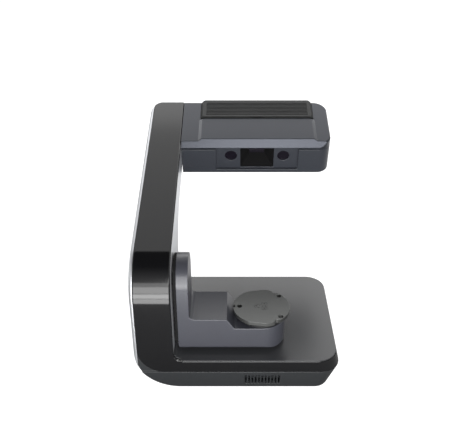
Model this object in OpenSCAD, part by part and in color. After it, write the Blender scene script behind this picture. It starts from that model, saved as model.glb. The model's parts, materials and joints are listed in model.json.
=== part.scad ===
// Desktop 3D scanner: a C-shaped frame with a weighted base, a column that
// leans back over the base, a camera head on its end and a swinging arm that
// carries a turntable. All sizes are millimetres. Local frame: x runs right
// from the column's outer side, y runs back from the front face, z runs up
// from the surface that the feet stand on.

/* [Base] */
// Width of the base at its widest
base_w = 260; // [245:1:275]
// How far the base's right side leans out below the deck
flare = 4; // [2:0.5:5]
// Depth of the base
base_d = 188; // [180:1:210]
// Height of the rubber feet
foot_h = 2.5; // [1.5:0.5:4]
// Height of the bevelled lower tray
tray_h = 27; // [25:1:32]
// Height of the black band around the base
band_h = 18; // [17:1:22]
// Radius of the base's upright corners
base_r = 26; // [20:1:32]
// Radius of the frame's lower left corner, seen from the front
frame_r = 57; // [50:1:60]
// Inset of the tray's underside at the front
tray_in_front = 3; // [1:0.5:6]
// Inset of the tray's underside at the side and back
tray_in_side = 14; // [8:1:16]
// Number of cooling slots in the front of the tray
vent_count = 11; // [5:1:15]
// Width of one cooling slot
vent_w = 2.1; // [1.5:0.1:2.6]
// Thickness of the steel floor plate
floor_t = 4; // [3:0.5:6]

/* [Column] */
// Width of the column
column_w = 49.5; // [47:0.5:54]
// Depth of the column's upright part
column_d = 124; // [116:1:140]
// Height of the knee's corner above the base's deck
knee_h = 127.5; // [122:0.5:145]
// Radius of the knee
knee_r = 55; // [46:1:58]
// Rise of the column's upper reach
lean = 16; // [14:0.5:18]
// Length of the upper reach from the knee's corner
reach = 343.5; // [338:0.5:370]
// Thickness of the upper reach
reach_t = 40; // [38:1:44]
// Radius behind the knee
back_r = 75; // [60:1:85]
// Thickness of the front bezel
bezel_t = 4; // [3:0.5:4.5]
// Chamfer along the bezel's inner edge
bezel_c = 1.6; // [1:0.1:2.5]
// Width of the side shell's rounded edge beside the bezel
edge_w = 4.5; // [3.5:0.25:6]

/* [Head] */
// Distance from the column's outer side to the head's free end
head_end = 263; // [258:1:276]
// Length of the head along the slope
head_len = 99.5; // [97:0.5:104]
// Thickness of the head
head_t = 54.2; // [52:0.1:60]
// Radius of the head's free rear corner
head_r = 20; // [14:1:24]
// Radius of the head's free front corner
head_front_r = 17; // [12:1:22]
// Run of the chamfer between the head's top and its camera face
head_c = 5.2; // [4:0.1:7]
// Drop of that chamfer
head_drop = 8; // [6:0.25:8.5]
// Height of the raised top panel
panel_h = 2.7; // [2:0.1:3.2]
// Width of the raised top panel
panel_w = 170; // [158:1:172]
// Run of the raised panel's sloping flanks
panel_flank = 4.5; // [2:0.25:6]
// Height of the ribbed grille above the top
grille_h = 5; // [4.5:0.25:6]
// Length of the ribbed grille along the slope
grille_len = 42; // [41:0.5:44]
// Width of the ribbed grille
grille_w = 166; // [156:1:168]
// Number of slots in the grille
grille_slots = 9; // [6:1:10]
// Middle of the top panel and grille, from the column's outer side
cover_mid = 158.5; // [157:0.5:161]
// Width of the recessed window panel
window_w = 118; // [114:1:126]
// Middle of the lenses and projector, from the column's outer side
optic_x = 158; // [156:0.5:160]
// Distance between the two camera lenses
lens_pitch = 75.5; // [72:0.5:80]
// Radius of the lens openings
lens_r = 8.6; // [7:0.1:9.2]
// Width of the projector's mouth
mouth_w = 48; // [40:1:50]

/* [Arm and turntable] */
// Thickness of the arm's upright paddle
paddle_t = 14.7; // [13.7:0.1:17]
// Depth of the arm, front to back
arm_d = 61; // [60:0.5:63]
// Distance of the arm's front behind the frame's front face
arm_y = 18; // [14:1:22]
// Height of the swing axis above the deck
axis_h = 94.7; // [94.5:0.1:100]
// Gap between the arm's underside and the deck at rest
arm_gap = 4.2; // [4.2:0.1:7]
// Height of the motor block above the deck
block_h = 50.5; // [49.5:0.5:54]
// Height of the round pod above the deck
pod_h = 36.5; // [36:0.5:38]
// Distance of the turntable's axis from the column's outer side
table_x = 160; // [157:0.5:163]
// Radius of the turntable plate
plate_r = 36.3; // [35:0.1:38]
// Thickness of the turntable plate
plate_t = 5; // [4:0.5:6]
// Height of the plate's face above the deck
plate_h = 49; // [48.5:0.5:52]
// Radius of the fixture holes in the plate
fix_r = 3.2; // [2.5:0.1:3.5]
// Distance of the paired fixture holes from the turntable's axis
fix_ring = 32; // [30:0.5:32]

/* [Drives] */
// Teeth on the two large pulleys
big_teeth = 60; // [54:2:62]
// Teeth on the two motor pulleys
small_teeth = 20; // [18:2:22]
// Pitch of the toothed belts
belt_pitch = 2; // [2:0.1:2.1]
// Width of the belts
belt_w = 5; // [4:0.5:5.5]
// Side length of both stepper motors
motor_s = 35; // [34:0.5:36]
// Size of the cooling fan
fan_s = 36; // [34:1:38]

/* [Walls and clearances] */
// Wall of the moulded shells
wall = 2.5; // [2:0.1:2.8]
// Gap between fixed pieces that lie beside each other
fit = 0.2; // [0.1:0.05:0.3]
// Running gap between moving and fixed pieces
run = 0.6; // [0.4:0.1:0.8]
// Radial clearance of shafts in bearings
shaft_fit = 0.03; // [0.02:0.01:0.08]

/* [Hidden] */
$fn = 64;
arc_n = 12;

tray_z = foot_h;
band_z = foot_h + tray_h;
deck_z = band_z + band_h;
knee_z = deck_z + knee_h;
overall_d = reach * cos(lean) + head_t * sin(lean);
head_m = reach - head_len;
half_split = column_w / 2;
band_t = 3;
deck_lip = 1.4;
// how far a rounding runs past the faces that it joins
past = 0.3;
band_arc_r = 35;
band_arc_x = edge_w - past + band_arc_r;
band_arc_z = band_z - past + band_arc_r;
reach_r = 23;
bezel_reach_r = 14;
inner_fillet = 11;
deck_t = 3;
end_round = 16;

swing_y = arm_y + arm_d / 2;
swing_z = deck_z + axis_h;
cover_x = column_w + 1.6;
paddle_x = column_w + 5.3;
paddle_end = paddle_x + paddle_t;
arm_bottom = deck_z + arm_gap;
block_x = paddle_end + 46.5;
pod_x = block_x + 9.5;
pod_z = deck_z + pod_h;
face_z = deck_z + plate_h;
arm_round = 5.5;
side_round = 7;
pod_r = arm_d / 2;

big_r = big_teeth * belt_pitch / (2 * PI);
small_r = small_teeth * belt_pitch / (2 * PI);
belt_t = 1.4;
belt_gap = 0.3;
shaft_r = 6;
bearing_r = 12;
motor_shaft_r = 2.5;

// ---- helpers -------------------------------------------------------------

function unit(v) = v / norm(v);
function wrap(a) = a - 360 * floor((a + 180) / 360);

// Points of one corner p, rounded with radius r between its neighbours a and b.
function corner(a, p, b, r, n) =
    r <= 0 ? [p] :
    let (u = unit(a - p), v = unit(b - p), half = acos(u * v) / 2)
    let (c = p + unit(u + v) * r / sin(half), reach_back = r / tan(half))
    let (d0 = p + u * reach_back - c, d1 = p + v * reach_back - c)
    let (a0 = atan2(d0[1], d0[0]), turn = wrap(atan2(d1[1], d1[0]) - a0))
    [for (i = [0:n]) c + r * [cos(a0 + turn * i / n), sin(a0 + turn * i / n)]];

// A closed outline from [x, y, radius] corners.
function outline(p, n = arc_n) = [for (i = [0:len(p) - 1])
    let (q = p[i], a = p[(i + len(p) - 1) % len(p)], b = p[(i + 1) % len(p)])
    each corner([a[0], a[1]], [q[0], q[1]], [b[0], b[1]], q[2], n)];

// From distances along and above the slope to y and z.
function slope(m, n) = [m * cos(lean) - n * sin(lean), knee_z + m * sin(lean) + n * cos(lean)];

// Height of the line that runs parallel to the slope, n above it, at depth y.
function slope_z(y, n) = knee_z + y * tan(lean) + n / cos(lean);

// The front line of the column, from the band up the slope, inset by i.
function front_line(i, low, end = reach) = [
    [i, low],
    each corner([i, low], [i, slope_z(i, -i)], slope(reach, -i), knee_r - i, arc_n),
    slope(end, -i)];

// The column's side outline: i is the inset at the front, j elsewhere.
function side_outline(i, j, low) =
    concat(front_line(i, low, reach - j), outline_tail(j, low, -reach_t + j, column_d - j));
function outline_tail(j, low, under, back) = [
    slope(reach - j, under),
    each corner(slope(reach - j, under), [back, slope_z(back, under)], [back, deck_z], back_r + j, arc_n),
    each corner([back, knee_z], [back, deck_z - j], [base_d, deck_z - j], 12 + j, arc_n),
    [base_d - j, deck_z - j],
    [base_d - j, low]];

module in_unit() translate([-head_end / 2, -overall_d / 2, 0]) children();
module on_slope() translate([0, 0, knee_z]) rotate([lean, 0, 0]) children();

// Extrudes a y-z outline along x from x0 to x1.
module prism_x(points, x0, x1) translate([x0, 0, 0]) rotate([90, 0, 90])
    linear_extrude(x1 - x0) polygon(points);
// Extrudes an x-z outline along y from y0 to y1.
module prism_y(points, y0, y1) translate([0, y1, 0]) rotate([90, 0, 0])
    linear_extrude(y1 - y0) polygon(points);
// Extrudes an x-y outline along z from z0 to z1.
module prism_z(points, z0, z1) translate([0, 0, z0]) linear_extrude(z1 - z0) polygon(points);
module box(lo, hi) translate(lo) cube(hi - lo);
// A cylinder along x, y or z that starts at p.
module rod_x(p, r, l) translate(p) rotate([0, 90, 0]) cylinder(r = r, h = l);
module rod_y(p, r, l) translate(p) rotate([-90, 0, 0]) cylinder(r = r, h = l);
module rod_z(p, r, l) translate(p) cylinder(r = r, h = l);
module tube_z(r0, r1, z0, z1) difference() {
    rod_z([0, 0, z0], r1, z1 - z0);
    rod_z([0, 0, z0 - 1], r0, z1 - z0 + 2);
}

// Plan of the base, inset by i, w wide, with a rounded left rear corner.
function base_plan(i, w = base_w) = outline([
    [i, i, 0],
    [w - i, i, base_r - i],
    [w - i, base_d - i, base_r - i],
    [i, base_d - i, 20 - i]]);
deck_w = base_w - flare;

// Everything to the right of and above the frame's lower left corner, inset by i.
module frame_corner(i) {
    r = frame_r - i;
    prism_y(outline([
        [i, tray_z + i, r],
        [head_end + 20, tray_z + i, 0],
        [head_end + 20, 420, 0],
        [i, 420, 0]], 2 * arc_n), -20, base_d + 400);
}

// ---- base ----------------------------------------------------------------

// The base seen from the front, inset by i: both lower corners are rounded.
module front_profile(i) prism_y(outline([
    [i, tray_z + i, frame_r - i],
    [base_w - tray_in_side - i, tray_z + i, end_round - i],
    [base_w - i, band_z, 0],
    [base_w - i, 420, 0],
    [i, 420, 0]], 2 * arc_n), -20, base_d + 20);

foot_r = 9;
foot_seat = 1;
foot_spots = [[70, 26], [base_w - tray_in_side - 26, 26], [70, base_d - tray_in_side - 22],
    [base_w - tray_in_side - 26, base_d - tray_in_side - 22]];
screw_spots = [for (p = foot_spots) p + [0, p[1] < base_d / 2 ? 18 : -18]];

module rubber_feet() in_unit() color("#161616")
    for (p = foot_spots) rod_z([p[0], p[1], 0], foot_r, foot_h + foot_seat);

// The tray's outer form: a slab that narrows towards its underside.
module tray_form(i, top) {
    low = tray_in_side;
    intersection() {
        hull() {
            prism_z(base_plan(i), top - 0.5, top);
            prism_z(outline([
                [i, tray_in_front + i, 0],
                [base_w - low - i, tray_in_front + i, base_r - 8 - i],
                [base_w - low - i, base_d - low - i, base_r - 8 - i],
                [i, base_d - low - i, 12 - i]]), tray_z + i, tray_z + i + 0.5);
        }
        front_profile(i);
    }
}

vent_pitch = vent_w * 2;
vent_h = 14;
vent_z = band_z - 20.5;
vent_x = optic_x + 3 - (vent_count - 1) / 2 * vent_pitch;
// The tray's upstand that shows beside the band's rounded corner.
lip_y = 1.5;
module corner_lip() intersection() {
    difference() {
        box([edge_w, lip_y, band_z - 1], [band_arc_x, bezel_t - fit, band_arc_z]);
        rod_y([band_arc_x, -2, band_arc_z], band_arc_r + fit, 20);
    }
    frame_corner(0);
}

module base_tray() in_unit() color("#3a3d42") {
    tray_body();
    corner_lip();
}
module tray_body() difference() {
    tray_form(0, band_z);
    difference() {
        tray_form(wall, band_z + 1);
        for (p = screw_spots) rod_z([p[0], p[1], 0], 5, tray_z + wall + 2);
    }
    for (p = foot_spots) rod_z([p[0], p[1], 0], foot_r, foot_h + foot_seat);
    for (p = screw_spots) rod_z([p[0], p[1], -1], 1.8, 20);
    for (k = [0:vent_count - 1]) translate([vent_x + k * vent_pitch, -2, vent_z])
        box([-vent_w / 2, 0, 0], [vent_w / 2, 10, vent_h]);
}

floor_z = tray_z + wall + 2;
floor_top = floor_z + floor_t;
floor_x = 52;
module floor_plate() in_unit() color("#8d9094") difference() {
    prism_z(outline([
        [floor_x, 14, 6],
        [base_w - tray_in_side - 10, 14, 14],
        [base_w - tray_in_side - 10, base_d - tray_in_side - 10, 14],
        [floor_x, base_d - tray_in_side - 10, 6]]), floor_z, floor_top);
    for (p = screw_spots) rod_z([p[0], p[1], 0], 1.6, 30);
}

module base_screws() in_unit() color("#b8bcc0")
    for (p = screw_spots) rod_z([p[0], p[1], tray_z + 0.6], 1.5, floor_top - tray_z - 0.2);

// The deck: the top plate of the base, with a skirt inside the band.
module base_deck() in_unit() color("#6a6c6f") {
    x0 = column_w + fit;
    difference() {
        union() {
            intersection() {
                prism_z(base_plan(band_t + fit, deck_w), band_z + fit, deck_z);
                box([x0, 0, 0], [base_w, base_d, deck_z]);
            }
            // the rim that lies on the band
            intersection() {
                prism_z(base_plan(fit, deck_w), deck_z - deck_lip, deck_z);
                union() {
                    box([column_w + inner_fillet, 0, 0], [base_w, base_d, deck_z]);
                    box([x0, base_d / 2, 0], [base_w, base_d, deck_z]);
                }
            }
        }
        intersection() {
            prism_z(base_plan(band_t + fit + wall, deck_w), band_z - 1, deck_z - deck_t);
            box([x0 + wall, 0, 0], [base_w, base_d, deck_z]);
        }
        box([port_x0, base_d - band_t - fit - wall - 1, band_z - 1], [port_x1 + 3, base_d, deck_z - deck_t]);
    }
    // concave corner between the deck and the column
    difference() {
        box([x0, band_t + fit + 1, deck_z], [column_w + inner_fillet, column_d, deck_z + inner_fillet]);
        rod_y([column_w + inner_fillet, 0, deck_z + inner_fillet], inner_fillet, column_d + 1);
    }
}

port_x0 = 90;
port_x1 = 190;

// A section of [x, depth] points, swept up the column's front line.
module sweep_front(section, low) {
    s = len(section);
    rows = [for (q = section) front_line(q[1], low)];
    n = len(rows[0]);
    points = [for (k = [0:n - 1]) for (j = [0:s - 1]) [section[j][0], rows[j][k][0], rows[j][k][1]]];
    sides = [for (k = [0:n - 2]) for (j = [0:s - 1])
        let (a = k * s + j, b = k * s + (j + 1) % s) each [[b + s, b, a], [a + s, b + s, a]]];
    polyhedron(points, concat(sides, [[for (j = [0:s - 1]) j], [for (j = [s - 1:-1:0]) (n - 1) * s + j]]));
}

// The bezel's strip on the column, chamfered along both edges.
bezel_edge_c = 0.8;
module bezel_strip(low) sweep_front([[edge_w, bezel_t], [edge_w, bezel_edge_c], [edge_w + bezel_edge_c, 0],
    [column_w - bezel_c, 0], [column_w, bezel_c], [column_w, bezel_t]], low);

// The side shell's rounded edge beside the bezel.
edge_set = 0.5;
module edge_strip(low) sweep_front([
    for (a = [0:18:90]) [(edge_w - fit) * (1 - cos(a)), bezel_t + 1 - (bezel_t + 1 - edge_set) * sin(a)],
    [edge_w - fit, bezel_t + 1]], low);

// Everything but the rounded outer corner at the reach's end, inset by i.
module reach_corner(i, x = 0, r = reach_r) on_slope() prism_z(outline([
    [x + i, -200, 0], [head_end, -200, 0], [head_end, reach - i, 0], [x + i, reach - i, r - i]]), -500, 20);

module front_bezel() in_unit() color("#141414") difference() {
    union() {
        intersection() {
            bezel_strip(band_z);
            reach_corner(-past, edge_w, bezel_reach_r);
        }
        // concave corner between the column and the band, chamfered as the column is
        difference() {
            box([column_w - bezel_c - 1, 0, band_z], [column_w + inner_fillet, band_t, deck_z + inner_fillet]);
            translate([column_w + inner_fillet, 0, deck_z + inner_fillet]) rotate([-90, 0, 0]) {
                cylinder(r1 = inner_fillet + bezel_c, r2 = inner_fillet, h = bezel_c);
                translate([0, 0, -1]) cylinder(r = inner_fillet, h = 20);
            }
        }
        // the band goes on round the right end and the back
        difference() {
            hull() {
                prism_z(base_plan(0), band_z, band_z + 0.2);
                prism_z(base_plan(0, deck_w), deck_z - 0.2, deck_z);
            }
            prism_z(base_plan(band_t, deck_w), band_z - 1, deck_z + 1);
            box([-1, -1, 0], [column_w + 0.4, base_d + 1, 200]);
            box([-1, base_d - band_t - 1, 0], [port_x1, base_d + 1, 200]);
            box([column_w + inner_fillet - fit, -1, deck_z - deck_lip - fit], [base_w + 1, base_d + 1, 200]);
        }
    }
    // lower left corner of the band
    difference() {
        box([-1, -1, band_z - 1], [band_arc_x, bezel_t + 1, band_arc_z]);
        rod_y([band_arc_x, -2, band_arc_z], band_arc_r, 20);
    }
}

port_z = band_z + band_h / 2;
usb_x = 125;
jack_x = 105;
switch_x = 165;
module rear_port_panel() in_unit() color("#1b1b1d") difference() {
    box([column_w + fit, base_d - band_t, band_z + fit], [port_x1 - fit, base_d, deck_z - deck_lip - fit]);
    box([usb_x - 6.3, base_d - 5, port_z - 6], [usb_x + 6.3, base_d + 1, port_z + 6]);
    rod_y([jack_x, base_d - 5, port_z], 5.3, 10);
    box([switch_x - 9.8, base_d - 5, port_z - 5.9], [switch_x + 9.8, base_d + 1, port_z + 5.9]);
}

// ---- column --------------------------------------------------------------

// The column's body behind the bezel, between x0 and x1, inset by i.
module column_form(x0, x1, i, low) intersection() {
    prism_x(side_outline(bezel_t + i, i, low), x0, x1);
    reach_corner(i);
    frame_corner(i);
}

module outer_side_shell() in_unit() color("#3d3f43") {
    difference() {
        column_form(0, half_split, 0, band_z + fit);
        column_form(wall, half_split + 1, wall, band_z - 1);
    }
    intersection() {
        edge_strip(band_z + fit);
        reach_corner(0);
        frame_corner(0);
    }
}

module inner_side_shell() in_unit() color("#3d3f43") difference() {
    column_form(half_split + fit, column_w, 0, band_z + fit);
    column_form(half_split, column_w - wall, wall, band_z - 1);
    // passage for the swing bearing
    rod_x([column_w - wall - 1, swing_y, swing_z], housing_r + fit, wall + 2);
    // passage for the bench that carries the head
    on_slope() box([column_w - wall - 1, bench_m0 - 1, bench_n - 1],
        [column_w + 1, bench_m1 + 1, bench_n + bench_t + 1]);
}

spine_x = 24.8;
spine_t = 3;
foot_top = floor_top + 7;
foot_y0 = 50;
foot_y1 = 120;
motor_y = swing_y + 12;
motor_z = swing_z - 57;
module spine_plate() in_unit() color("#9a9da1") {
    difference() {
        prism_x(side_outline(bezel_t + wall + 3, wall + 3, foot_top), spine_x, spine_x + spine_t);
        rod_x([spine_x - 1, swing_y, swing_z], bearing_r + 2, spine_t + 2);
        rod_x([spine_x - 1, motor_y, motor_z], small_r + 4, spine_t + 2);
        // room for the tray's sloping back
        box([spine_x - 1, base_d - tray_in_side, 0], [spine_x + spine_t + 1, base_d, band_z]);
    }
    // stepped foot that ties the spine to the floor plate
    box([spine_x + spine_t, foot_y0, foot_top], [floor_x + 8, foot_y1, foot_top + 3]);
    box([floor_x + 5, foot_y0, floor_top], [floor_x + 8, foot_y1, foot_top]);
    box([floor_x + 5, foot_y0, floor_top], [floor_x + 24, foot_y1, floor_top + 3]);
}

housing_r = 17;
module swing_bearing_housing() in_unit() color("#7d8084") {
    x0 = spine_x + spine_t;
    difference() {
        union() {
            rod_x([x0, swing_y, swing_z], 24, 4);
            rod_x([x0, swing_y, swing_z], housing_r, column_w - 0.5 - x0);
        }
        rod_x([x0 - 1, swing_y, swing_z], bearing_r, 60);
    }
}
module ring_x(x, r0, r1, l) difference() {
    rod_x([x, swing_y, swing_z], r1, l);
    rod_x([x - 1, swing_y, swing_z], r0, l + 2);
}
module swing_bearings() in_unit() color("#c4c8cc") {
    ring_x(spine_x + spine_t + 0.4, shaft_r + shaft_fit, bearing_r, 7);
    ring_x(column_w - 8, shaft_r + shaft_fit, bearing_r, 7);
}

module swing_motor() in_unit() color("#2b2c2e") {
    x0 = spine_x + spine_t;
    difference() {
        box([x0, motor_y - motor_s / 2, motor_z - motor_s / 2],
            [column_w - wall - 0.4, motor_y + motor_s / 2, motor_z + motor_s / 2]);
        rod_x([x0 - 1, motor_y, motor_z], motor_shaft_r + shaft_fit, 12);
    }
}
pulley_x = 12;
// A flanged pulley on z = 0, with a bore.
module pulley(r, bore) difference() {
    union() {
        rod_z([0, 0, 0], r, belt_w + 2);
        rod_z([0, 0, 0], r + 1.2, 0.8);
        rod_z([0, 0, belt_w + 1.2], r + 1.2, 0.8);
    }
    rod_z([0, 0, -1], bore, belt_w + 4);
}
module swing_motor_pulley() in_unit() color("#a9adb1") {
    translate([pulley_x, motor_y, motor_z]) rotate([0, 90, 0]) pulley(small_r, motor_shaft_r);
    rod_x([pulley_x, motor_y, motor_z], motor_shaft_r, spine_x + spine_t + 8 - pulley_x);
}
// A belt's line round a big pulley at the origin and a small one at distance d.
function belt_line(d, r1, r2) = let (a = acos((r1 - r2) / d)) [
    for (k = [0:36]) r1 * [cos(a + k * (360 - 2 * a) / 36), sin(a + k * (360 - 2 * a) / 36)],
    for (k = [0:18]) [d, 0] + r2 * [cos(-a + k * 2 * a / 18), sin(-a + k * 2 * a / 18)]];
module belt(d, r1, r2) linear_extrude(belt_w) difference() {
    polygon(belt_line(d, r1 + belt_gap + belt_t, r2 + belt_gap + belt_t));
    polygon(belt_line(d, r1 + belt_gap, r2 + belt_gap));
}
module swing_belt() in_unit() color("#1c1c1c") {
    d = norm([motor_y - swing_y, motor_z - swing_z]);
    turn = atan2(motor_z - swing_z, motor_y - swing_y);
    translate([pulley_x + 1, swing_y, swing_z]) rotate([turn, 0, 0])
        rotate([90, 0, 90]) belt(d, big_r, small_r);
}

// ---- electronics in the base ---------------------------------------------

board_z = port_z - 7.4;
board = [[82, base_d - 75], [190, base_d - 12]];
board_spots = [[88, base_d - 69], [184, base_d - 69], [88, base_d - 34], [184, base_d - 34]];
module main_board() in_unit() color("#1f4a34") {
    difference() {
        box([board[0][0], board[0][1], board_z], [board[1][0], board[1][1], board_z + 1.6]);
        for (p = board_spots) rod_z([p[0], p[1], 0], 1.6, 60);
    }
    box([100, base_d - 62, board_z + 1.6], [116, base_d - 46, board_z + 4]);
    box([128, base_d - 60, board_z + 1.6], [138, base_d - 50, board_z + 3.6]);
    for (k = [0:4]) box([148 + 7 * k, base_d - 62, board_z + 1.6], [152 + 7 * k, base_d - 56, board_z + 5]);
}
module board_standoffs() in_unit() color("#c0c4c8") for (p = board_spots) {
    rod_z([p[0], p[1], floor_top], 3, board_z - floor_top);
    rod_z([p[0], p[1], board_z], 1.5, 2.4);
}
module usb_port() in_unit() color("#b9bdc2") difference() {
    box([usb_x - 6, base_d - 18, board_z + 1.6], [usb_x + 6, base_d - 0.5, port_z + 5.4]);
    box([usb_x - 4.5, base_d - 12, port_z - 4], [usb_x + 4.5, base_d + 1, port_z + 4.4]);
}
module power_jack() in_unit() color("#202020") {
    difference() {
        union() {
            rod_y([jack_x, base_d - 12, port_z], 5, 12);
            box([jack_x - 5, base_d - 22, board_z + 1.6], [jack_x + 5, base_d - 12, port_z + 5]);
        }
        rod_y([jack_x, base_d - 10, port_z], 3.2, 12);
    }
}
module switch_housing() in_unit() color("#181818") difference() {
    union() {
        box([switch_x - 9.5, base_d - 12, port_z - 5.6], [switch_x + 9.5, base_d, port_z + 5.6]);
        box([switch_x - 11, base_d, port_z - 7], [switch_x + 11, base_d + 1, port_z + 7]);
    }
    box([switch_x - 8.6, base_d - 7, port_z - 4.6], [switch_x + 8.6, base_d + 2, port_z + 4.6]);
    rod_z([switch_x, rocker_y, port_z - 5.3], rocker_pin_r + 0.05, 10.6);
}
rocker_tilt = 6;
rocker_y = base_d - 1.5;
rocker_pin_r = 0.6;
module power_rocker() in_unit() color("#2a2a2a") {
    translate([switch_x, rocker_y, port_z - 4.2]) rotate([0, 0, -rocker_tilt]) linear_extrude(8.4)
        polygon([[-7.8, 1.8], [0, 0.9], [7.8, 1.8], [7.6, -1.2], [3, -3.6], [-3, -3.6], [-7.6, -1.2]]);
    // pivot pin
    rod_z([switch_x, rocker_y, port_z - 5.2], rocker_pin_r, 10.4);
}

// ---- arm -----------------------------------------------------------------

// The arm's outer form from x0 on, inset by i.
module arm_form(x0, i) intersection() {
    prism_y(outline([
        [x0 + i, arm_bottom + i, max(side_round - i, 0.5)],
        [table_x + pod_r - i, arm_bottom + i, 0],
        [table_x + pod_r - i, pod_z - i, 0],
        [pod_x - i * 0.4, pod_z - i, 2],
        [block_x - i * 0.4, deck_z + block_h - i, 1],
        [paddle_end - i, deck_z + block_h - i, 6],
        [paddle_end - i, swing_z + pod_r + 1 - i, 1.5],
        [x0 + i, swing_z + pod_r + 1 - i, 1.5]]), -20, 150);
    prism_x(arm_side(i, arm_bottom), x0 - 1, table_x + 60);
    union() {
        box([0, arm_y + i, 0], [table_x, arm_y + arm_d - i, 400]);
        rod_z([table_x, swing_y, 0], pod_r - i, 400);
    }
}
function arm_side(i, low) =
    let (r = arm_d / 2 - i)
    concat(outline_open(i, low),
        [for (k = [0:2 * arc_n]) let (a = 180 * k / (2 * arc_n)) [swing_y + r * cos(a), swing_z + r * sin(a)]]);
function outline_open(i, low) =
    let (a = arm_y + i, b = arm_y + arm_d - i, l = low + i, r = max(arm_round - i, 0.5))
    concat(corner([a, swing_z], [a, l], [b, l], r, 6), corner([a, l], [b, l], [b, swing_z], r, 6));

floor_in = 8;
module arm_floor_area(i, z0, z1) prism_z(outline([
    [paddle_x + floor_in + i, arm_y + floor_in - 1 + i, 3],
    [table_x, arm_y + floor_in - 1 + i, 0],
    for (k = [1:11]) [table_x + (pod_r - floor_in + 1 - i) * sin(15 * k),
        swing_y - (pod_r - floor_in + 1 - i) * cos(15 * k), 0],
    [table_x, arm_y + arm_d - floor_in + 1 - i, 0],
    [paddle_x + floor_in + i, arm_y + arm_d - floor_in + 1 - i, 3]]), z0, z1);

module arm_shell() in_unit() color("#5f6168") {
    arm_skin();
    arm_bosses();
}
module arm_skin() difference() {
    arm_form(paddle_x, 0);
    arm_form(paddle_x, wall);
    arm_floor_area(0, arm_bottom - 1, arm_bottom + wall + 1);
    // passages for the shaft and the spindle
    rod_x([paddle_x - 1, swing_y, swing_z], shaft_r + fit, wall + 2);
    rod_z([table_x, swing_y, pod_z - wall - 1], bearing_r + 2, wall + 2);
    for (p = arm_screw_spots) rod_x([paddle_x - 1, p[0], p[1]], 1.6, wall + 2);
}
// bosses for the floor cover's screws
module arm_bosses() for (p = floor_screw_spots) difference() {
    rod_z([p[0], p[1], arm_bottom + wall], 3, p[2] - arm_bottom - wall);
    rod_z([p[0], p[1], arm_bottom], 1.5, 12);
}
module arm_floor_cover() in_unit() color("#2c2d30") difference() {
    arm_floor_area(fit, arm_bottom + 0.4, arm_bottom + wall);
    for (p = floor_screw_spots) rod_z([p[0], p[1], 0], 1.6, 90);
}
module arm_side_cover() in_unit() color("#101011") difference() {
    intersection() {
        prism_x(arm_side(0.8, arm_bottom + side_round), cover_x, paddle_x);
        box([0, 0, arm_bottom + side_round], [100, 200, 400]);
    }
    rod_x([0, swing_y, swing_z], shaft_r + fit, 100);
    for (p = arm_screw_spots) rod_x([cover_x - 1, p[0], p[1]], 1.6, 40);
}
arm_screw_spots = [for (s = [-1, 1]) each [
    [swing_y + 18 * s, swing_z + 10],
    [swing_y + 20 * s, arm_bottom + 22]]];
floor_screw_spots = [for (s = [-1, 1]) each [
    [paddle_end + 3, swing_y + s * (arm_d / 2 - 11.5), deck_z + block_h - wall / 2],
    [pod_x - 1, swing_y + s * (arm_d / 2 - 11.5), pod_z - wall / 2]]];
module arm_screws() in_unit() color("#2f3033") {
    for (p = arm_screw_spots) rod_x([cover_x + 0.4, p[0], p[1]], 1.5, paddle_x + wall - cover_x + 2);
    for (p = floor_screw_spots) rod_z([p[0], p[1], arm_bottom + 0.6], 1.4, wall + 2);
}

module swing_shaft() in_unit() color("#c9ccd0") difference() {
    union() {
        rod_x([pulley_x - 4, swing_y, swing_z], shaft_r, paddle_x + wall + 6 - pulley_x + 4);
        rod_x([column_w - 0.4 + run, swing_y, swing_z], 11, cover_x - column_w - run + 0.4);
        rod_x([paddle_x + wall, swing_y, swing_z], 13, 3);
    }
    rod_x([0, swing_y, swing_z], 3, 120);
}
module swing_pulley() in_unit() color("#a9adb1")
    translate([pulley_x, swing_y, swing_z]) rotate([0, 90, 0]) pulley(big_r, shaft_r);
module shaft_nut() in_unit() color("#8a8d91")
    translate([pulley_x - 4, swing_y, swing_z]) rotate([0, 90, 0]) difference() {
        cylinder(r = 10, h = 4, $fn = 6);
        rod_z([0, 0, -1], shaft_r, 6);
    }

// ---- turntable drive -----------------------------------------------------

table_belt_z = arm_bottom + wall + 1.6;
table_motor_x = block_x - wall - 0.6 - motor_s / 2;
table_motor_z0 = table_belt_z + belt_w + 4.4;
table_motor_z1 = deck_z + block_h - wall - fit;
module table_motor() in_unit() color("#2b2c2e") difference() {
    box([table_motor_x - motor_s / 2, swing_y - motor_s / 2, table_motor_z0],
        [table_motor_x + motor_s / 2, swing_y + motor_s / 2, table_motor_z1]);
    rod_z([table_motor_x, swing_y, table_motor_z0 - 1], motor_shaft_r + shaft_fit, 12);
}
module table_motor_pulley() in_unit() color("#a9adb1") {
    translate([table_motor_x, swing_y, table_belt_z - 1]) pulley(small_r, motor_shaft_r);
    rod_z([table_motor_x, swing_y, table_belt_z - 1], motor_shaft_r, table_motor_z0 + 8 - table_belt_z);
}
module table_belt() in_unit() color("#1c1c1c")
    translate([table_x, swing_y, table_belt_z]) rotate([0, 0, 180])
        belt(table_x - table_motor_x, big_r, small_r);

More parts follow.
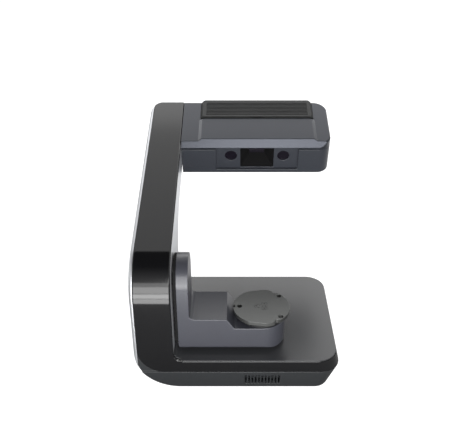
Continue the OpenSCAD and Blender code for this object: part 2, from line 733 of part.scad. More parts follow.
table_housing_z0 = table_belt_z + belt_w + 2.4;
module table_bearing_housing() in_unit() color("#7d8084")
    translate([table_x, swing_y, 0]) {
        tube_z(bearing_r, bearing_r + 1.8, table_housing_z0, pod_z);
        tube_z(bearing_r + 1, 24, pod_z - wall - 3, pod_z - wall);
    }
module table_bearings() in_unit() color("#c4c8cc") translate([table_x, swing_y, 0]) {
    tube_z(shaft_r + shaft_fit, bearing_r, table_housing_z0 + 0.2, table_housing_z0 + 5.2);
    tube_z(shaft_r + shaft_fit, bearing_r, pod_z - 6, pod_z - 1);
}
hub_z = pod_z + run;
hub_r = 30;
module table_spindle() in_unit() color("#c9ccd0")
    rod_z([table_x, swing_y, table_belt_z - 1.2], shaft_r, hub_z - table_belt_z + 1.2 + 3);
module table_pulley() in_unit() color("#a9adb1")
    translate([table_x, swing_y, table_belt_z - 1]) pulley(big_r, shaft_r);
module table_hub() in_unit() color("#0e0e0f") difference() {
    rod_z([table_x, swing_y, hub_z], hub_r, face_z - plate_t - hub_z);
    rod_z([table_x, swing_y, 0], shaft_r, hub_z + 3);
    rod_z([table_x, swing_y, 0], 2, 200);
    for (p = magnet_spots) rod_z([p[0], p[1], face_z - plate_t - 2], 4, 10);
}

// ---- turntable plate -----------------------------------------------------

flat_in = 1.7;
notch_r = 3;
fix_spots = [[table_x - fix_ring + 4, swing_y],
    for (a = [-43, 43]) [table_x + fix_ring * cos(a), swing_y + fix_ring * sin(a)]];
contact_r = 3.4;
contact_ring = 5.8;
contact_spots = [for (a = [52, 180, 308]) [table_x + contact_ring * cos(a), swing_y + contact_ring * sin(a)]];
magnet_spots = [for (a = [0, 120, 240]) [table_x + 20 * cos(a), swing_y + 20 * sin(a)]];
module table_plate() in_unit() color("#5c5d5c") difference() {
    rod_z([table_x, swing_y, face_z - plate_t], plate_r, plate_t);
    for (s = [-1, 1]) translate([table_x, swing_y, 0]) rotate([0, 0, 100 * s])
        box([plate_r - flat_in, -30, 0], [plate_r + 5, 30, 200]);
    for (a = [60, 180, 300]) rod_z([table_x + plate_r * cos(a), swing_y + plate_r * sin(a), 0], notch_r, 200);
    for (p = fix_spots) rod_z([p[0], p[1], 0], fix_r, 200);
    for (p = contact_spots) rod_z([p[0], p[1], face_z - 1.5], contact_r + 0.3, 3);
}
module table_magnets() in_unit() color("#d0d3d6")
    for (p = magnet_spots) rod_z([p[0], p[1], face_z - plate_t - 2], 4 - fit / 2, 1.9);
module table_contacts() in_unit() color("#4a4b4a") for (p = contact_spots) difference() {
    rod_z([p[0], p[1], face_z - 1.5], contact_r, 1.5);
    rod_z([p[0], p[1], face_z - 1], 1, 2);
}

// ---- head (in the slope's frame: x right, m along the slope, n above it) --

// Plan of the head, inset by i at the front and by j at the end and back.
function head_plan(i, j) = outline([
    [column_w, head_m + i, 0],
    [head_end - j, head_m + i, head_front_r - j],
    [head_end - j, reach - j, head_r - j],
    [column_w, reach - j, 0]]);
edge_c = 1.6;
seam_n = -head_drop - 4;
// Everything in front of the front chamfer's plane, moved back by d.
module chamfer_cut(d) prism_x([
    [head_m + d - head_c, -2 * head_drop], [head_m + d + 2 * head_c, head_drop],
    [head_m - 20, head_drop], [head_m - 20, -2 * head_drop]], 0, head_end + 20);

module head_lower_shell() in_unit() on_slope() color("#44474f") {
    difference() {
        prism_z(head_plan(0, 0), -head_t, seam_n - 0.1);
        difference() {
            prism_z(head_plan(wall, wall), -head_t + wall, seam_n + 1);
            box([column_w - 1, head_m, -head_t], [column_w + wall, reach, 0]);
        }
        window_recess();
        // passage for the bench
        box([column_w - 1, bench_m0 - 1, bench_n - 1],
            [column_w + wall + 1, bench_m1 + 1, bench_n + bench_t + 1]);
        for (p = head_screw_spots) rod_z([p[0], p[1], -head_t - 1], 1.6, wall + 2);
    }
    // bosses that the bench stands on
    for (p = head_screw_spots) translate([p[0], p[1], 0]) tube_z(1.6, 4, -head_t + wall, bench_n);
}
window_n0 = -48;
window_n1 = -9;
// Opening in the camera face for the recessed window panel.
module window_recess() box([optic_x - window_w / 2, head_m - 1, window_n0],
    [optic_x + window_w / 2, head_m + wall + 1, window_n1]);
head_screw_spots = [for (x = [98, 220], m = [head_m + 37, head_m + 84]) [x, m]];

module head_top_cover() in_unit() on_slope() color("#5c5e63") difference() {
    union() {
        hull() {
            prism_z(head_plan(0, 0), seam_n, -edge_c);
            prism_z(head_plan(edge_c, edge_c), -0.2, 0);
        }
        // raised panel with bevelled flanks
        hull() {
            panel_slab(0, -0.3, -0.1);
            panel_slab(panel_flank, panel_h - 0.2, panel_h);
        }
    }
    difference() {
        prism_z(head_plan(wall, wall), seam_n - 1, -wall);
        chamfer_cut(wall);
    }
    chamfer_cut(0);
    window_recess();
    // opening under the grille
    box([cover_mid - grille_w / 2 + 5, reach - grille_len + 3, -20],
        [cover_mid + grille_w / 2 - 5, reach - 9, 20]);
    // seat of the grille
    box([cover_mid - grille_w / 2 - fit, reach - grille_len - fit, -0.6],
        [cover_mid + grille_w / 2 + fit, reach + 20, 20]);
}
module panel_slab(i, n0, n1) prism_z(outline([
    [cover_mid - panel_w / 2 + i, head_m, 0],
    [cover_mid + panel_w / 2 - i, head_m, 0],
    [cover_mid + panel_w / 2 - i, reach - grille_len - 2.2, 4],
    [cover_mid - panel_w / 2 + i, reach - grille_len - 2.2, 4]]), n0, n1);

slot_pitch = 3.44;
module vent_grille() in_unit() on_slope() color("#2b2c2c") difference() {
    m0 = reach - grille_len;
    x0 = cover_mid - grille_w / 2;
    x1 = cover_mid + grille_w / 2;
    hull() {
        prism_z(outline([[x0, m0, 1], [x1, m0, 1], [x1, reach - 1, 3], [x0, reach - 1, 3]]), -0.6, 0.5);
        prism_z(outline([[x0 + 3, m0, 2], [x1 - 3, m0, 2], [x1 - 3, reach - 2, 4], [x0 + 3, reach - 2, 4]]),
            grille_h - 0.5, grille_h);
    }
    // hollow underside
    box([x0 + 8, m0 + 3, -1], [x1 - 8, reach - 9, grille_h - 2]);
    for (k = [0:grille_slots - 1])
        box([x0 + 8, m0 + 4 + k * slot_pitch, -2], [x1 - 8, m0 + 5.6 + k * slot_pitch, grille_h + 1]);
    // pry notch at the middle of the front edge
    box([cover_mid - 8.6, m0 - 1, grille_h - 3.4], [cover_mid + 8.6, m0 + 2, grille_h - 1]);
}

panel_m = head_m + wall + 0.6;
module window_panel() in_unit() on_slope() color("#3f424a") difference() {
    box([optic_x - window_w / 2 - 4, panel_m + 0.4, window_n0 - 2],
        [optic_x + window_w / 2 + 4, panel_m + 2.4, window_n1 + 0.6]);
    for (s = [-1, 1]) rod_y([optic_x + s * lens_pitch / 2, panel_m - 1, lens_n], lens_r, 5);
    box([optic_x - mouth_w / 2, panel_m - 1, window_n0 + 1.5],
        [optic_x + mouth_w / 2, panel_m + 5, window_n1 + 2]);
}
lens_n = -25.3;
module lens_windows() in_unit() on_slope() color("#1a1420", 0.6)
    for (s = [-1, 1]) rod_y([optic_x + s * lens_pitch / 2, panel_m + 2.4, lens_n], lens_r + 1.5, 1.2);

throat_w = 22;
throat_n = [-35, -19];
funnel_m1 = panel_m + 20;
module funnel_form(i) hull() {
    box([optic_x - mouth_w / 2 - i, panel_m + 2.5, window_n0 + 1.5 - i],
        [optic_x + mouth_w / 2 + i, panel_m + 2.8, window_n1 - 1.5 + i]);
    box([optic_x - throat_w / 2 - i, funnel_m1 - 0.3, throat_n[0] - i],
        [optic_x + throat_w / 2 + i, funnel_m1, throat_n[1] + i]);
}
module projector_funnel() in_unit() on_slope() color("#0c0c0d") difference() {
    funnel_form(1.2);
    funnel_form(0);
    box([optic_x - mouth_w / 2, panel_m + 2, window_n0 + 1.5],
        [optic_x + mouth_w / 2, panel_m + 2.6, window_n1 - 1.5]);
    box([optic_x - throat_w / 2, funnel_m1 - 0.6, throat_n[0]],
        [optic_x + throat_w / 2, funnel_m1 + 1, throat_n[1]]);
}
module projector_window() in_unit() on_slope() color("#20242c", 0.6)
    box([optic_x - throat_w / 2 - 1, funnel_m1 + 0.1, throat_n[0] - 1],
        [optic_x + throat_w / 2 + 1, funnel_m1 + 1.3, throat_n[1] + 1]);

bench_t = 3;
bench_n = -reach_t + wall + 1.5;
bench_end = head_end - 26;
bench_m0 = head_m + 30;
bench_m1 = head_m + 90;
module optics_bench() in_unit() on_slope() color("#a3a7ab") {
    difference() {
        box([spine_x + spine_t, bench_m0, bench_n], [bench_end, bench_m1, bench_n + bench_t]);
        for (p = head_screw_spots) rod_z([p[0], p[1], bench_n - 1], 1.6, bench_t + 2);
    }
    // flange that is bolted to the spine
    box([spine_x + spine_t, bench_m0, bench_n], [spine_x + spine_t + 3, bench_m1, bench_n + 16]);
    // posts that carry the board below
    for (x = [head_board_x + 4, head_board_x + head_board_w - 4], m = [bench_m0 + 9, bench_m0 + 51])
        rod_z([x, m, head_board_n + 1.6], 2.5, bench_n - head_board_n - 1.6);
}

toe_in = 7;
camera_s = 25;
module camera(s) in_unit() on_slope() color("#222326")
    translate([optic_x + s * lens_pitch / 2, panel_m + 4.3, lens_n]) rotate([0, 0, -s * toe_in]) {
        difference() {
            rod_y([0, 0.6, 0], 8, 16);
            rod_y([0, 0, 0], 6.2, 5);
        }
        translate([-camera_s / 2, 16, projector_n0 - lens_n]) cube([camera_s, 20, camera_s]);
    }
module camera_left() camera(-1);
module camera_right() camera(1);

projector_n0 = bench_n + bench_t + fit;
module projector_lens() in_unit() on_slope() color("#17181a") {
    rod_y([optic_x, funnel_m1 + 1.4, (throat_n[0] + throat_n[1]) / 2], 9, 4.8);
}
module projector_body() in_unit() on_slope() color("#34363a")
    box([optic_x - 22, funnel_m1 + 7.4, projector_n0], [optic_x + 22, funnel_m1 + 50, projector_n0 + 24]);
head_board_x = optic_x - 44;
head_board_w = 90;
head_board_n = -44;
module head_board() in_unit() on_slope() color("#1f4a34") {
    box([head_board_x, bench_m0 + 5, head_board_n],
        [head_board_x + head_board_w, bench_m1 - 5, head_board_n + 1.6]);
    box([optic_x - 12, bench_m0 + 22, head_board_n - 2.4], [optic_x + 4, bench_m0 + 38, head_board_n]);
    for (k = [0:3]) translate([optic_x + 12 + 7 * k, bench_m0 + 12, head_board_n - 3]) cube([4, 6, 3]);
}
module heat_sink() in_unit() on_slope() color("#6f7276") {
    base_n = projector_n0 + 24;
    box([optic_x - 21, funnel_m1 + 12, base_n], [optic_x + 21, funnel_m1 + 48, base_n + 2]);
    for (k = [0:8]) translate([optic_x - 21 + k * 5, funnel_m1 + 12, base_n + 2]) cube([1.6, 36, 3]);
}

fan_x = optic_x + 54;
fan_m = reach - 13 - fan_s / 2;
fan_n = -16;
module fan_frame() in_unit() on_slope() color("#1a1b1c") {
    difference() {
        box([fan_x - fan_s / 2, fan_m - fan_s / 2, fan_n], [fan_x + fan_s / 2, fan_m + fan_s / 2, fan_n + 10]);
        rod_z([fan_x, fan_m, fan_n - 1], fan_s / 2 - 1.5, 12);
    }
    for (a = [45, 135]) translate([fan_x, fan_m, 0]) rotate([0, 0, a])
        box([-fan_s / 2 + 0.5, -1, fan_n], [fan_s / 2 - 0.5, 1, fan_n + 1.2]);
    rod_z([fan_x, fan_m, fan_n], 5, 1.2);
    rod_z([fan_x, fan_m, fan_n], 1, 4);
    // legs down to the bench
    for (s = [-1, 1]) box([fan_x + s * (fan_s / 2 - 2) - 1.5, fan_m + 10, bench_n + bench_t],
        [fan_x + s * (fan_s / 2 - 2) + 1.5, fan_m + 14, fan_n]);
}
module fan_rotor() in_unit() on_slope() color("#232426") translate([fan_x, fan_m, 0]) {
    difference() {
        rod_z([0, 0, fan_n + 1.8], 7.5, 7.6);
        rod_z([0, 0, fan_n + 1], 1 + shaft_fit, 4.6);
    }
    for (k = [0:6]) rotate([0, 0, k * 360 / 7]) translate([7, 0, fan_n + 5.6]) rotate([35, 0, 0])
        box([0, -4, -0.5], [fan_s / 2 - 1.5 - 7 - 1, 4, 0.5]);
}
module head_screws() in_unit() on_slope() color("#2f3033") for (p = head_screw_spots) {
    rod_z([p[0], p[1], -head_t + 0.5], 1.5, bench_n + bench_t + head_t);
}

rubber_feet();
base_tray();
floor_plate();
base_deck();
front_bezel();
rear_port_panel();
outer_side_shell();
inner_side_shell();
spine_plate();
base_screws();
main_board();
board_standoffs();
usb_port();
power_jack();
switch_housing();
power_rocker();
swing_bearing_housing();
swing_bearings();
swing_motor();
swing_motor_pulley();
swing_belt();
arm_shell();
arm_floor_cover();
arm_side_cover();
arm_screws();
swing_shaft();
swing_pulley();
shaft_nut();
table_motor();
table_motor_pulley();
table_belt();
table_bearing_housing();
table_bearings();
table_spindle();
table_pulley();
table_hub();
table_plate();
table_magnets();
table_contacts();
head_lower_shell();
head_top_cover();
window_panel();
lens_windows();
projector_funnel();
projector_window();
camera_left();
camera_right();
projector_body();
projector_lens();
optics_bench();
head_board();
heat_sink();
fan_frame();
fan_rotor();
vent_grille();
head_screws();
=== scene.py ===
# A desktop 3D scanner as a studio picture shows it: a glossy black C-shaped
# front, a grey deck, a blue-grey camera head and a swinging arm with a turntable.
# Lengths on the object and the camera's place are in millimetres, the studio's in metres.
import json
import math

import bpy
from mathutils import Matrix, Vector


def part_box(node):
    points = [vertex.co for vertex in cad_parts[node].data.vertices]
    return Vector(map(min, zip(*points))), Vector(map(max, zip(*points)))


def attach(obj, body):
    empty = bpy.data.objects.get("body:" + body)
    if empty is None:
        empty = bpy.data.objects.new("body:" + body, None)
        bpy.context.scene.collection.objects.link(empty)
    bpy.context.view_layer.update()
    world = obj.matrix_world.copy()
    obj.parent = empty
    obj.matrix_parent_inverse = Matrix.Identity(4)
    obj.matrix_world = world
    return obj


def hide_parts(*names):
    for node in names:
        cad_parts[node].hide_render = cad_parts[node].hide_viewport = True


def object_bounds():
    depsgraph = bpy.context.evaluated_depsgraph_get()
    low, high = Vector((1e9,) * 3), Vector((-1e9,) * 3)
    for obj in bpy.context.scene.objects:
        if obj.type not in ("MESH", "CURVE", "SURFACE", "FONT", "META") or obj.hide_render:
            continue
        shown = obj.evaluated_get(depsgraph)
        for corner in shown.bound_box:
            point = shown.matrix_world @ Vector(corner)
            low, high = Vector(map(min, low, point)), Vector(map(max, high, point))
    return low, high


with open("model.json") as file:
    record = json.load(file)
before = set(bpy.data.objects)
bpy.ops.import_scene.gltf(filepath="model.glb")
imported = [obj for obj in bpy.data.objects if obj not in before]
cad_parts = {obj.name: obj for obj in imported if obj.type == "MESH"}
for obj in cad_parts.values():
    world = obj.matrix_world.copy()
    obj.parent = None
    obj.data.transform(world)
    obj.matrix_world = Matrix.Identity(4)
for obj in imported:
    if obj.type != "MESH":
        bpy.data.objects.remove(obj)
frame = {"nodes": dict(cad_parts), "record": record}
cad_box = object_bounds()
scene = bpy.context.scene

# ---- sizes, in millimetres from the column's outer side, the front face and the floor

FRONT_CORNER = cad_box[0].copy()


def mm(x, y, z):
    """A point of the object's own millimetre frame, in the shared frame in metres."""
    return FRONT_CORNER + Vector((x, y, z)) / 1000


def in_mm(point):
    """The other way: a point of the shared frame in the object's own millimetres."""
    return (point - FRONT_CORNER) * 1000


# The arm's box gives its sides, the swing's axis and the round pod that carries the turntable.
arm_low, arm_high = [in_mm(corner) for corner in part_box("arm_shell")]
ARM_SIDE, ARM_FRONT, ARM_BACK = arm_low.x, arm_low.y, arm_high.y
SWING_Y, POD_R = (ARM_FRONT + ARM_BACK) / 2, (ARM_BACK - ARM_FRONT) / 2
TABLE_X = arm_high.x - POD_R
# The paddle's far face, and the tops of the block beside it and of the pod.
PADDLE_END, BLOCK_TOP, POD_TOP = 69.5, 98.0, 84.0

# ---- camera ---------------------------------------------------------------

CAMERA_AT, LOOKS_DOWN = (126.7, -644.8, 610.7), 29
SENSOR_W, LENS, SIDE_SHIFT = 36, 51.76, -0.00515

camera = bpy.data.objects.new("camera", bpy.data.cameras.new("camera"))
scene.collection.objects.link(camera)
camera.location = mm(*CAMERA_AT)
camera.rotation_euler = (math.radians(90 - LOOKS_DOWN), 0, 0)
camera.data.sensor_width = SENSOR_W
camera.data.lens = LENS
camera.data.shift_x = SIDE_SHIFT
scene.camera = camera
scene.view_settings.view_transform = "Standard"

# ---- materials ------------------------------------------------------------

# The cloudy tint, in clouds per metre, and how far it and the grain's gloss stray from the mean.
CLOUD_SCALE, CLOUD_DETAIL = 28.0, 3.0
TINT_SPREAD, GLOSS_SPREAD = 0.06, 0.1
GRAIN_DETAIL, GRAIN_RELIEF = 2.0, 0.5


def linear(hex_colour):
    """An sRGB hex colour as linear red, green, blue and alpha."""
    channels = [int(hex_colour[i:i + 2], 16) / 255 for i in (1, 3, 5)]
    return (*[c / 12.92 if c <= 0.04045 else ((c + 0.055) / 1.055) ** 2.4 for c in channels], 1)


def add(tree, kind, links=None, **settings):
    """Adds a node; links maps its input names to outputs, settings are its properties or input values."""
    node = tree.nodes.new("ShaderNode" + kind)
    for key, value in settings.items():
        if hasattr(node, key):
            setattr(node, key, value)
        else:
            node.inputs[key.replace("_", " ")].default_value = value
    for name, output in (links or {}).items():
        tree.links.new(output, node.inputs[name])
    return node


def surface(name, colour, roughness, grain, bump, metallic=0.0, **extra):
    """A moulded, painted or machined surface: grain is the pattern's pitch in mm, bump its depth in mm.

    Real textures of 0.05 to 0.1 mm are too fine to show, so the grain is drawn a few times as coarse.
    """
    made = bpy.data.materials.new(name)
    made.use_nodes = True
    tree = made.node_tree
    shader = tree.nodes["Principled BSDF"]
    shader.inputs["Metallic"].default_value = metallic
    for key, value in extra.items():
        shader.inputs[key.replace("_", " ")].default_value = value
    place = add(tree, "TexCoord").outputs["Object"]
    fine = add(tree, "TexNoise", {"Vector": place}, Scale=1000 / grain, Detail=GRAIN_DETAIL)
    broad = add(tree, "TexNoise", {"Vector": place}, Scale=CLOUD_SCALE, Detail=CLOUD_DETAIL)
    tint = add(tree, "ValToRGB", {"Fac": broad.outputs["Fac"]})
    base = linear(colour)
    for stop, gain in zip(tint.color_ramp.elements, (1 - TINT_SPREAD, 1 + TINT_SPREAD)):
        stop.color = (*[min(1, c * gain) for c in base[:3]], 1)
    tree.links.new(tint.outputs["Color"], shader.inputs["Base Color"])
    gloss = add(tree, "MapRange", {"Value": fine.outputs["Fac"]},
                To_Min=roughness * (1 - GLOSS_SPREAD), To_Max=roughness * (1 + GLOSS_SPREAD))
    tree.links.new(gloss.outputs["Result"], shader.inputs["Roughness"])
    if bump:
        relief = add(tree, "Bump", {"Height": fine.outputs["Fac"]}, Strength=GRAIN_RELIEF,
                     Distance=bump / 1000)
        tree.links.new(relief.outputs["Normal"], shader.inputs["Normal"])
    return made


# Piano-black polycarbonate, hard-coated: nearly mirror-like, with soft edges to its reflections.
gloss_black = surface("hard_coated_black_polycarbonate", "#08080a", 0.12, grain=2.5, bump=0, IOR=1.5)
# Black ABS with a light satin texture.
satin_black = surface("satin_black_abs", "#131314", 0.38, grain=0.5, bump=0.01)
# Silver-grey paint on moulded ABS: an even satin with fine flake.
silver_paint = surface("silver_painted_abs", "#cfd1d4", 0.42, grain=0.25, bump=0.006, metallic=0.9)
# Powder-coated aluminium deck, mid grey, fine texture.
deck_coat = surface("grey_powder_coated_aluminium", "#303133", 0.3, grain=0.35, bump=0.006)
# Charcoal ABS with a spark-eroded texture.
tray_abs = surface("charcoal_textured_abs", "#1d1f21", 0.45, grain=0.4, bump=0.012)
# Blue-grey satin paint over the arm's casting.
arm_paint = surface("blue_grey_painted_casting", "#38393f", 0.3, grain=0.3, bump=0.006)
# Blue-grey satin paint of the head's cover, darker than the arm's, with a cold sheen.
head_paint = surface("blue_grey_painted_cover", "#232529", 0.3, grain=0.3, bump=0.008,
                     Specular_Tint=linear("#e6ebfa"))
# Dark blue-grey ABS of the head's body.
head_abs = surface("dark_blue_grey_abs", "#2c2f36", 0.45, grain=0.35, bump=0.01)
# Matt black grille of glass-filled nylon.
grille_nylon = surface("matt_black_nylon", "#252626", 0.62, grain=0.3, bump=0.02)
# Flocked or sandblasted black that swallows stray light.
matt_black = surface("matt_black_paint", "#0a0a0b", 0.8, grain=0.25, bump=0.02, Specular_IOR_Level=0.2)
# Dark anodised aluminium, bead blasted.
anodised = surface("dark_anodised_aluminium", "#565756", 0.34, grain=0.3, bump=0.008, metallic=0.75)
# Machined bare aluminium.
machined = surface("machined_aluminium", "#b4b7bb", 0.3, grain=0.4, bump=0.006, metallic=1.0)
# Ground bearing steel.
ground_steel = surface("ground_steel", "#b9bcc0", 0.18, grain=0.3, bump=0.003, metallic=1.0)
# Zinc-plated sheet steel.
zinc_steel = surface("zinc_plated_sheet_steel", "#9da1a6", 0.35, grain=3.0, bump=0.004, metallic=1.0)
# Black-oxide screws and shaft.
black_oxide = surface("black_oxide_steel", "#26272a", 0.38, grain=0.3, bump=0.004, metallic=0.8)
# Natural rubber feet and belts.
rubber = surface("black_rubber", "#141414", 0.75, grain=0.6, bump=0.03)
# Solder mask on a circuit board.
solder_mask = surface("green_solder_mask", "#12402a", 0.3, grain=0.8, bump=0.004)
# Plated port shell.
plated = surface("tin_plated_steel", "#a6a8aa", 0.28, grain=0.4, bump=0.003, metallic=1.0)
# Motor casing: stamped steel in black enamel.
motor_enamel = surface("black_enamelled_steel", "#1b1c1d", 0.32, grain=0.5, bump=0.006)
# Coated optical glass: dark, with a slight purple cast.
lens_glass = surface("coated_optical_glass", "#1b191e", 0.05, grain=3.0, bump=0,
                     Coat_Weight=0.6, Coat_Tint=linear("#dcd2ee"))

FINISHES = {
    gloss_black: "front_bezel rear_port_panel",
    deck_coat: "base_deck",
    tray_abs: "base_tray",
    silver_paint: "outer_side_shell inner_side_shell",
    arm_paint: "arm_shell",
    satin_black: "arm_floor_cover switch_housing power_rocker power_jack fan_frame fan_rotor table_hub",
    head_paint: "head_top_cover",
    head_abs: "head_lower_shell window_panel",
    grille_nylon: "vent_grille",
    lens_glass: "lens_windows projector_window",
    matt_black: "projector_funnel camera_left camera_right projector_lens arm_side_cover",
    anodised: "table_plate table_contacts",
    rubber: "rubber_feet swing_belt table_belt",
    zinc_steel: "floor_plate spine_plate",
    machined: "swing_bearing_housing swing_motor_pulley swing_pulley table_motor_pulley table_pulley "
              "table_bearing_housing optics_bench heat_sink projector_body",
    ground_steel: "swing_bearings table_bearings table_spindle shaft_nut table_magnets",
    black_oxide: "base_screws arm_screws head_screws board_standoffs swing_shaft",
    motor_enamel: "swing_motor table_motor",
    solder_mask: "main_board head_board",
    plated: "usb_port",
}
finish_of = {node: made for made, nodes in FINISHES.items() for node in nodes.split()}
body_of = {node: body for body, nodes in frame["record"]["behaviour"]["bodies"].items() for node in nodes}
for node, thing in frame["nodes"].items():
    thing.data.materials.clear()
    thing.data.materials.append(finish_of[node])

# ---- pieces ---------------------------------------------------------------

# Angles in degrees: what counts as one flat face, as a sharp edge, and as smooth shading.
FLAT, SHARP, SMOOTH = 0.4, 28, 12
MERGE_M = 2e-6
# Where the arm's broad chamfer runs, in mm: how near a face counts as on it, how far it keeps
# off the column side and the corner above the ramp, and the slack of the pod's round outline.
ON_FACE, OFF_SIDE, OFF_RAMP, ROUND_SLACK = 0.05, 2.0, 6.0, 0.1
ARM_EDGE, ARM_CHAMFER, ARM_STEPS = 0.4, 0.95, 3


def only(thing):
    """Selects one object and makes it active."""
    bpy.ops.object.select_all(action="DESELECT")
    thing.select_set(True)
    bpy.context.view_layer.objects.active = thing


def modify(thing, kind, **settings):
    """Adds a modifier and applies it."""
    only(thing)
    made = thing.modifiers.new(kind.lower(), kind)
    for key, value in settings.items():
        setattr(made, key, value)
    bpy.ops.object.modifier_apply(modifier=made.name)


def soften(thing, width, steps, wide):
    """Rounds every sharp edge to a width in mm; wide is None, or a test of a point and a broader width."""
    only(thing)
    bpy.ops.object.mode_set(mode="EDIT")
    bpy.ops.mesh.select_mode(type="EDGE")
    bpy.ops.mesh.select_all(action="DESELECT")
    bpy.ops.mesh.edges_select_sharp(sharpness=math.radians(SHARP))
    bpy.ops.transform.edge_bevelweight(value=1)
    bpy.ops.object.mode_set(mode="OBJECT")
    widest = wide[1] if wide else width
    weights = thing.data.attributes["bevel_weight_edge"].data
    for edge in thing.data.edges:
        if weights[edge.index].value > 0:
            broad = wide and all(wide[0](*in_mm(thing.data.vertices[v].co)) for v in edge.vertices)
            weights[edge.index].value = 1 if broad else width / widest
    modify(thing, "BEVEL", width=widest / 1000, segments=steps, limit_method="WEIGHT",
           use_clamp_overlap=False, loop_slide=False, miter_outer="MITER_SHARP")
    modify(thing, "TRIANGULATE", ngon_method="BEAUTY", min_vertices=5)
    thing.data.shade_smooth()
    only(thing)
    bpy.ops.object.shade_smooth_by_angle(angle=math.radians(SMOOTH))
    modify(thing, "WEIGHTED_NORMAL", keep_sharp=True, weight=100)


def keep_inside(thing, node):
    """Brings a rounded piece's points back inside the box of the CAD node that it stands for."""
    corners = [Vector(corner) for corner in frame["nodes"][node].bound_box]
    for axis in range(3):
        low, high = min(c[axis] for c in corners), max(c[axis] for c in corners)
        for vertex in thing.data.vertices:
            vertex.co[axis] = min(max(vertex.co[axis], low), high)


def from_node(node, name, width, steps=2, wide=None):
    """A piece that starts from a CAD node's own form, joined into clean faces, with rounded edges."""
    thing = bpy.data.objects.new(name, frame["nodes"][node].data.copy())
    scene.collection.objects.link(thing)
    only(thing)
    bpy.ops.mesh.customdata_custom_splitnormals_clear()
    bpy.ops.object.mode_set(mode="EDIT")
    bpy.ops.mesh.select_all(action="SELECT")
    bpy.ops.mesh.remove_doubles(threshold=MERGE_M)
    bpy.ops.mesh.dissolve_limited(angle_limit=math.radians(FLAT))
    bpy.ops.object.mode_set(mode="OBJECT")
    soften(thing, width, steps, wide)
    keep_inside(thing, node)
    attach(thing, body_of[node])
    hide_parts(node)


def arm_rim(x, y, z):
    """Whether a point lies on an edge that the arm's broad chamfer follows."""
    on_front_or_back = min(abs(y - ARM_FRONT), abs(y - ARM_BACK)) < ON_FACE and x > ARM_SIDE + OFF_SIDE
    on_paddle_arch = abs(x - PADDLE_END) < ON_FACE and z > BLOCK_TOP + OFF_RAMP
    on_pod = abs(z - POD_TOP) < ON_FACE and math.hypot(x - TABLE_X, y - SWING_Y) > POD_R - ROUND_SLACK
    return on_front_or_back or on_paddle_arch or on_pod


# Each piece with its CAD node and the rounding of its edges in mm.
for node, name, width in [
        ("front_bezel", "bezel_front", 0.35),
        ("base_tray", "tray_shell", 0.6),
        ("base_deck", "deck_top", 0.5),
        ("outer_side_shell", "side_outer", 0.5),
        ("inner_side_shell", "side_inner", 0.5),
        ("arm_side_cover", "arm_cover", 0.5),
        ("arm_floor_cover", "arm_floor", 0.3),
        ("head_lower_shell", "head_body", 0.6),
        ("head_top_cover", "head_cover", 0.5),
        ("window_panel", "optics_panel", 0.6),
        ("table_plate", "turntable_plate", 0.3),
        ("table_hub", "turntable_hub", 0.4),
        ("vent_grille", "grille", 0.2),
        ("rubber_feet", "feet", 0.5),
        ("rear_port_panel", "port_panel", 0.3),
        ("usb_port", "usb_socket", 0.15),
        ("switch_housing", "switch_frame", 0.2),
        ("power_rocker", "rocker", 0.25),
        ("lens_windows", "lenses", 0.3),
        ("table_contacts", "contacts", 0.1)]:
    from_node(node, name, width)
from_node("arm_shell", "arm_casting", ARM_EDGE, ARM_STEPS, (arm_rim, ARM_CHAMFER))

# ---- studio, in metres -----------------------------------------------------

# How bright the studio is to the object's dull surfaces, and its walls and ceiling in reflections.
WORLD_LEVEL, WALL_GLOSS, SIDE_GLOSS, CEILING_GLOSS = 0.25, 1.0, 0.45, 0.08
# How far sideways and how high a mirrored ray points where the walls' level starts and stops to change.
SIDE_STARTS, SIDE_STOPS = 0.3, 0.85
CEILING_STARTS, CEILING_STOPS = 0.35, 0.9
FLOOR_SIZE, PAPER_GREY = 8, 0.3
# The floor's painted glow in reflections, near the front and far back, and where along Y it changes.
FLOOR_NEAR, FLOOR_FAR = 0.05, 1.0
FADE_STARTS, FADE_STOPS = -0.05, 0.4


def seen_as(tree, other, mirrored):
    """1 to the eye and through glass, the output mirrored to mirrored rays, and a level to the others."""
    path = add(tree, "LightPath")
    dull = add(tree, "MapRange", {"Value": path.outputs["Is Glossy Ray"], "To Max": mirrored}, To_Min=other)
    seen = add(tree, "Math", {0: path.outputs["Is Camera Ray"], 1: path.outputs["Is Transmission Ray"]},
               operation="MAXIMUM")
    return add(tree, "Math", {0: seen.outputs[0], 1: dull.outputs["Result"]}, operation="MAXIMUM").outputs[0]


# White walls all round to the eye; in reflections the sides are dimmer and the ceiling is dark.
world = bpy.data.worlds.new("studio")
scene.world = world
world.use_nodes = True
sky = world.node_tree
back = sky.nodes["Background"]
back.inputs["Color"].default_value = linear("#ffffff")
direction = add(sky, "SeparateXYZ", {"Vector": add(sky, "TexCoord").outputs["Generated"]})
aside = add(sky, "Math", {0: direction.outputs["X"]}, operation="ABSOLUTE")
side_level = add(sky, "MapRange", {"Value": aside.outputs[0]}, From_Min=SIDE_STARTS, From_Max=SIDE_STOPS,
                 To_Min=WALL_GLOSS, To_Max=SIDE_GLOSS)
wall_level = add(sky, "MapRange", {"Value": direction.outputs["Z"], "To Min": side_level.outputs["Result"]},
                 From_Min=CEILING_STARTS, From_Max=CEILING_STOPS, To_Max=CEILING_GLOSS)
sky.links.new(seen_as(sky, WORLD_LEVEL, wall_level.outputs["Result"]), back.inputs["Strength"])

bpy.ops.mesh.primitive_plane_add(size=FLOOR_SIZE, location=(0, 0, 0))
floor = bpy.context.object
floor.name = "floor"
paper = bpy.data.materials.new("white_paper_sweep")
paper.use_nodes = True
sweep = paper.node_tree
sweep.nodes.remove(sweep.nodes["Principled BSDF"])
matt = add(sweep, "BsdfDiffuse", Color=(PAPER_GREY, PAPER_GREY, PAPER_GREY, 1))
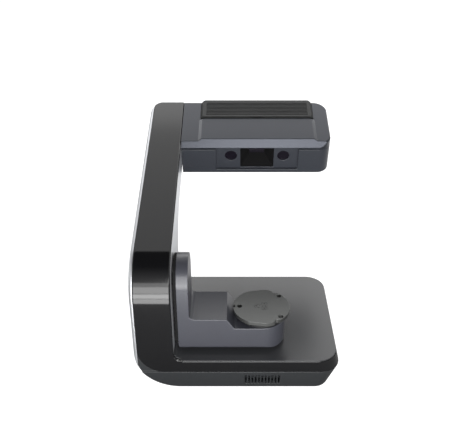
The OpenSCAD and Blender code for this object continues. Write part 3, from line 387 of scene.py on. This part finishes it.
# In reflections the sweep shows a painted glow that fades towards the front: painted light at the back and
# painted shade at the front, in place of light from behind.
along = add(sweep, "SeparateXYZ", {"Vector": add(sweep, "TexCoord").outputs["Object"]})
painted_reflection_fade = add(sweep, "MapRange", {"Value": along.outputs["Y"]}, From_Min=FADE_STARTS, From_Max=FADE_STOPS,
           To_Min=FLOOR_NEAR, To_Max=FLOOR_FAR)
glow = add(sweep, "Emission", {"Strength": seen_as(sweep, 0.0, painted_reflection_fade.outputs["Result"])},
           Color=linear("#ffffff"))
both = add(sweep, "AddShader", {0: matt.outputs[0], 1: glow.outputs[0]})
sweep.links.new(both.outputs[0], sweep.nodes["Material Output"].inputs["Surface"])
floor.data.materials.append(paper)

# The bank behind the object, a ring of boxes about it: name, degrees above the floor, degrees high, level.
BACK_REACH, BACK_WIDTH = 1.6, 2.2
BACK_BANK = [("back_box_low", 35, 14, 2.7), ("back_box_mid", 49, 13, 2.0), ("back_box_high", 66, 21, 1.05)]
# The bank close in front of it: name, distance along Y, height above the floor, height of the box, level.
BANK_X, BANK_WIDTH = -0.02, 0.48
FRONT_BANK = [("front_strip", -0.61, 0.055, 0.1, 10.5), ("front_box", -0.64, 0.19, 0.16, 6.2),
              ("front_top", -0.66, 0.33, 0.1, 2.6)]
# The knee at the front, which the front bank faces, and the lowest height that it aims at.
KNEE_Y, AIM_Z = -0.17, 0.13
OBJECT_MIDDLE = (0, 0, 0.15)
# Single boxes: name, place, the point that it faces, width and height, level. The strip on the floor
# faces up and ends the bright band, and the narrow box in front lights the head's front chamfer.
SINGLE_BOXES = [("floor_strip", (-0.02, -0.48, 0.003), (-0.02, -0.47, 1), (0.48, 0.19), 7.0),
                ("chamfer_box", (0.13, -0.63, 0.4), (0.03, 0.05, 0.25), (0.5, 0.17), 8.2),
                ("right_softbox", (1.5, 0.2, 0.35), OBJECT_MIDDLE, (1.6, 0.9), 0.5),
                ("left_softbox", (-1.5, 0.0, 0.35), OBJECT_MIDDLE, (1.2, 0.9), 0.7)]


def softbox(name, at, aim, size, level):
    """A rectangular soft light at a place, turned to face a point; level is how bright it looks."""
    lamp = bpy.data.objects.new(name, bpy.data.lights.new(name, "AREA"))
    lamp.data.shape = "RECTANGLE"
    lamp.data.size, lamp.data.size_y = size
    lamp.data.energy = level * math.pi * size[0] * size[1]
    lamp.visible_camera = False
    scene.collection.objects.link(lamp)
    lamp.location = at
    lamp.rotation_euler = (Vector(aim) - Vector(at)).to_track_quat("-Z", "Y").to_euler()


# Three boxes behind the object, dimmer towards the top, fade the mirrored light up the leaning reach.
for name, elevation, span, level in BACK_BANK:
    rise = math.radians(elevation)
    centre = (0, BACK_REACH * math.cos(rise), BACK_REACH * math.sin(rise))
    softbox(name, centre, (0, 0, 0), (BACK_WIDTH, 2 * BACK_REACH * math.tan(math.radians(span / 2))), level)
# Low boxes close in front draw the bright band across the knee and the light on the upright faces.
for name, y, z, height, level in FRONT_BANK:
    softbox(name, (BANK_X, y, z), (BANK_X, KNEE_Y, max(z, AIM_Z)), (BANK_WIDTH, height), level)
for box in SINGLE_BOXES:
    softbox(*box)
